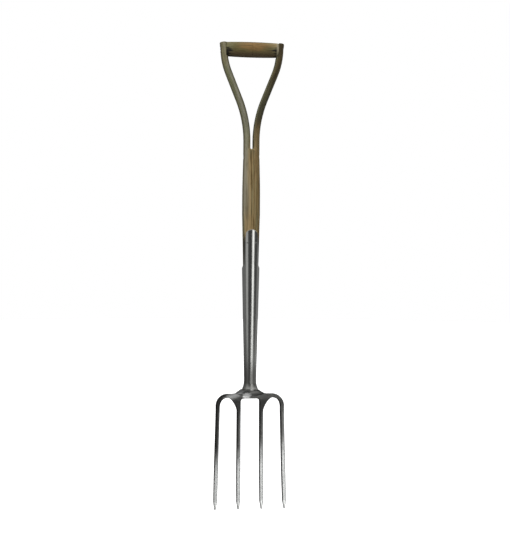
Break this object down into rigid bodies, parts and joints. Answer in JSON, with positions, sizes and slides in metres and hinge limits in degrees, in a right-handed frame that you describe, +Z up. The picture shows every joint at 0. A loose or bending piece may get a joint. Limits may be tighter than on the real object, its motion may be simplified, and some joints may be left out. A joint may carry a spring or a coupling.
{
  "type": "digging fork",
  "caption": "Garden digging fork with four forged tines, a strapped steel socket and an ash shaft split into a Y with a turned cross grip.",
  "frame": {"origin": "on the shaft's axis, at the centre of the plane that the four tine tips touch", "axes": "+Z up the shaft, towards the grip; +X to the right, along the grip; the front, towards which the tines lean, faces -Y"},
  "size_m": [0.1476, 0.0386, 0.94],
  "materials": {
    "ash_wood": "oiled, straight-grained ash, weathered grey-brown",
    "grip_wood": "turned and oiled, darker and redder than the shaft",
    "polished_steel": "polished along the socket, duller towards the foot",
    "forged_steel": "forged and ground, dark and mottled at the crown, brighter towards the points",
    "rivet_steel": "plain steel, heads set or ground flush"
  },
  "bodies": {
    "root": {"fork_head": "forged_steel", "socket": "polished_steel", "shaft": "ash_wood", "grip": "grip_wood", "grip_rivet": "rivet_steel", "grip_washer_right": "rivet_steel", "grip_washer_left": "rivet_steel", "throat_rivet": "rivet_steel", "throat_washer_right": "rivet_steel", "throat_washer_left": "rivet_steel", "strap_rivet_upper": "polished_steel", "strap_rivet_lower": "polished_steel"}
  },
  "joints": []
}
